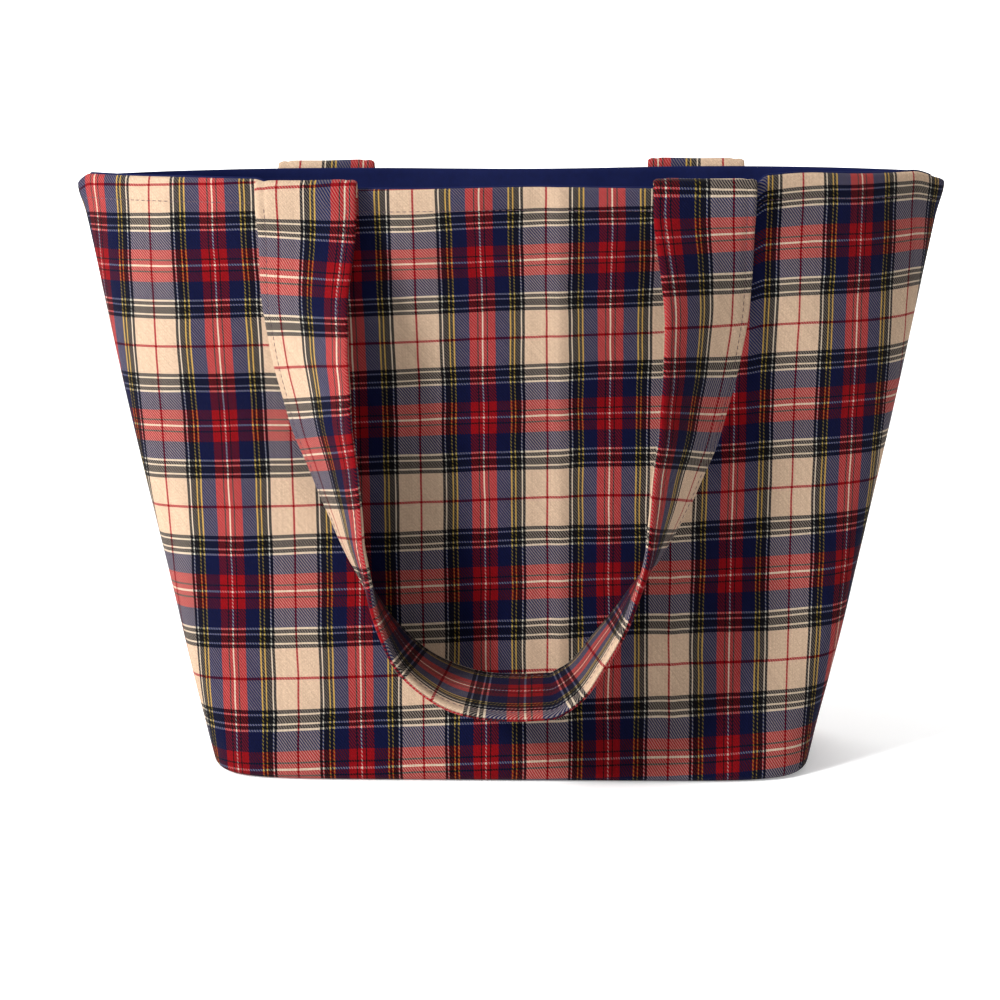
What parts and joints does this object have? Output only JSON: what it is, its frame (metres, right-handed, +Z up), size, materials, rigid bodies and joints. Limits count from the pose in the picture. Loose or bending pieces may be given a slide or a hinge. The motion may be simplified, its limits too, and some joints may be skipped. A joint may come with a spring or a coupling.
{
  "type": "tote bag",
  "caption": "Open-topped tartan tote bag with a flat boxed base, a navy lining and two long strap handles that swing on the rim.",
  "frame": {"origin": "on the floor under the middle of the base", "axes": "+X across the bag, along the rim; -Y to the bag's front; +Z up"},
  "size_m": [0.4596, 0.2052, 0.3254],
  "materials": {
    "tartan": "brushed woollen twill in a tartan of cream, navy, red, yellow and white",
    "lining": "plain navy lining cloth with a slight sheen",
    "interlining": "matt felt",
    "board": "plain stiffener board",
    "webbing": "plain woven webbing",
    "thread": "sewing thread"
  },
  "bodies": {
    "bag": {"outer_front_panel": "tartan", "outer_back_panel": "tartan", "front_interlining": "interlining", "back_interlining": "interlining", "lining_front_panel": "lining", "lining_back_panel": "lining", "base_board": "board", "front_rim_topstitch": "thread", "back_rim_topstitch": "thread", "front_left_handle_end": "tartan", "front_right_handle_end": "tartan", "back_left_handle_end": "tartan", "back_right_handle_end": "tartan"},
    "front_handle": {"front_handle_cover": "tartan", "front_handle_core": "webbing", "front_handle_outer_edge_stitching": "thread", "front_handle_inner_edge_stitching": "thread"},
    "back_handle": {"back_handle_cover": "tartan", "back_handle_core": "webbing", "back_handle_outer_edge_stitching": "thread", "back_handle_inner_edge_stitching": "thread"}
  },
  "joints": [
    {"name": "front_handle_swing", "type": "hinge", "parent": "bag", "child": "front_handle", "pos_m": [0, -0.046, 0.323], "axis": [-1, 0, 0], "range_deg": [0, 165]},
    {"name": "back_handle_swing", "type": "hinge", "parent": "bag", "child": "back_handle", "pos_m": [0, 0.046, 0.323], "axis": [1, 0, 0], "range_deg": [0, 165]}
  ]
}
